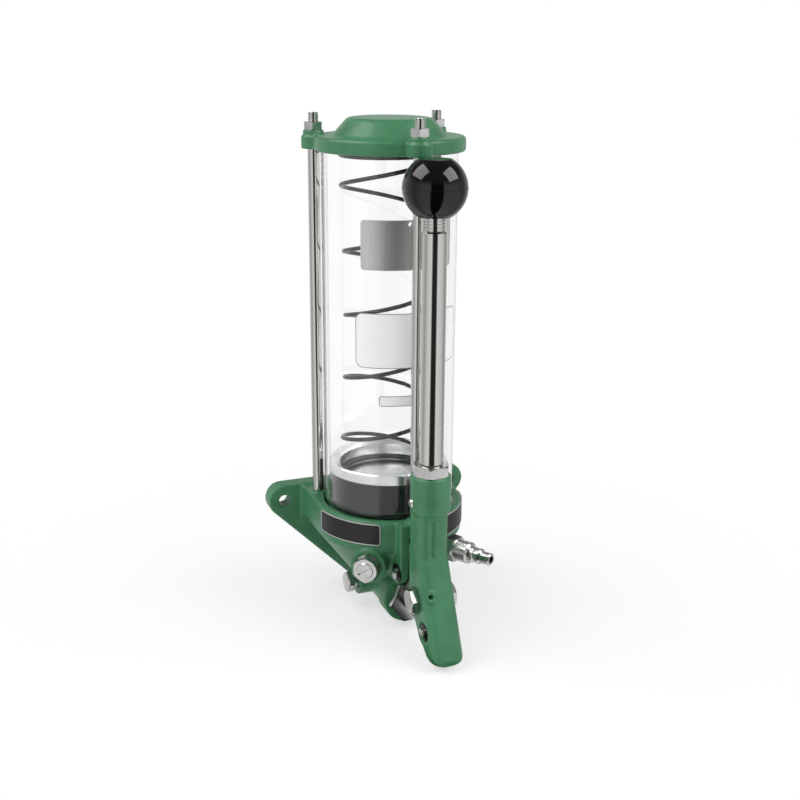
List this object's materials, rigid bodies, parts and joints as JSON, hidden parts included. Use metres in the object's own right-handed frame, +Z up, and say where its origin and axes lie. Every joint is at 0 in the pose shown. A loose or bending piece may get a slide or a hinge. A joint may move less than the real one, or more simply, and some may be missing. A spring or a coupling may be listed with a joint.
{
  "type": "manual lubrication pump",
  "caption": "Lever-worked grease pump: clear spring-follower reservoir on a wall-mount casting, with a plunger, relief valve and fill nipple.",
  "frame": {"origin": "point on the wall face midway between the two mounting holes", "axes": "+Y into the wall, along the mounting holes; +Z up along the reservoir; +X to the right seen from the handle"},
  "size_m": [0.15, 0.1627, 0.342],
  "materials": {
    "casting": "semi-gloss green enamel",
    "clear_tube": "clear cast acrylic",
    "black_rubber": "nitrile rubber",
    "bright_steel": "bright plated steel",
    "zinc_steel": "zinc plated steel",
    "grey_steel": "plain steel",
    "bare_aluminium": "turned aluminium",
    "dark_wire": "oiled spring steel",
    "black_phenolic": "polished phenolic",
    "plate_black": "printed aluminium plate"
  },
  "bodies": {
    "body": {"pump_body": "casting", "reservoir_tube": "clear_tube", "tube_gaskets": "black_rubber", "top_cap": "casting", "tie_rods": "bright_steel", "tie_rod_nuts": "zinc_steel", "follower_spring": "dark_wire", "link_pin": "zinc_steel", "link_pin_clips": "dark_wire", "gland_nut": "zinc_steel", "plunger_packing": "black_rubber", "relief_valve_body": "zinc_steel", "relief_screw": "zinc_steel", "relief_spring": "grey_steel", "relief_ball": "bright_steel", "discharge_ball": "bright_steel", "discharge_spring": "grey_steel", "discharge_retainer": "zinc_steel", "side_plug": "zinc_steel", "fill_nipple": "zinc_steel", "left_nameplate": "plate_black", "right_nameplate": "plate_black"},
    "fulcrum_link": {"fulcrum_link": "grey_steel"},
    "lever": {"lever": "casting", "handle_rod": "bright_steel", "ball_knob": "black_phenolic", "handle_lock_nut": "zinc_steel", "socket_pin": "zinc_steel", "fulcrum_bolt": "zinc_steel", "fulcrum_nut": "zinc_steel", "plunger_pin": "zinc_steel", "plunger_pin_clips": "dark_wire"},
    "plunger": {"plunger": "bright_steel"},
    "follower": {"follower_plate": "bare_aluminium", "follower_seal": "black_rubber"}
  },
  "joints": [
    {"name": "lever_pivot", "type": "hinge", "parent": "fulcrum_link", "child": "lever", "pos_m": [0, -0.1295, -0.033], "axis": [1, 0, 0], "range_deg": [0, 52.44]},
    {"name": "link_pivot", "type": "hinge", "parent": "body", "child": "fulcrum_link", "pos_m": [0, -0.103, -0.025], "axis": [1, 0, 0], "range_deg": [-12.94, 0.5]},
    {"name": "plunger_slide", "type": "slide", "parent": "body", "child": "plunger", "axis": [0, 1, 0], "range_m": [-0.0002, 0.01277]},
    {"name": "follower_slide", "type": "slide", "parent": "body", "child": "follower", "axis": [0, 0, 1], "range_m": [0, 0.15], "stiffness_N_per_m": 60, "springref_m": -0.15, "deforming": ["follower_spring"]}
  ],
  "couplings": [
    {"joint": "link_pivot", "follows": "lever_pivot", "ratio": -0.23722},
    {"joint": "plunger_slide", "follows": "lever_pivot", "m_per_rad": 0.01373}
  ]
}
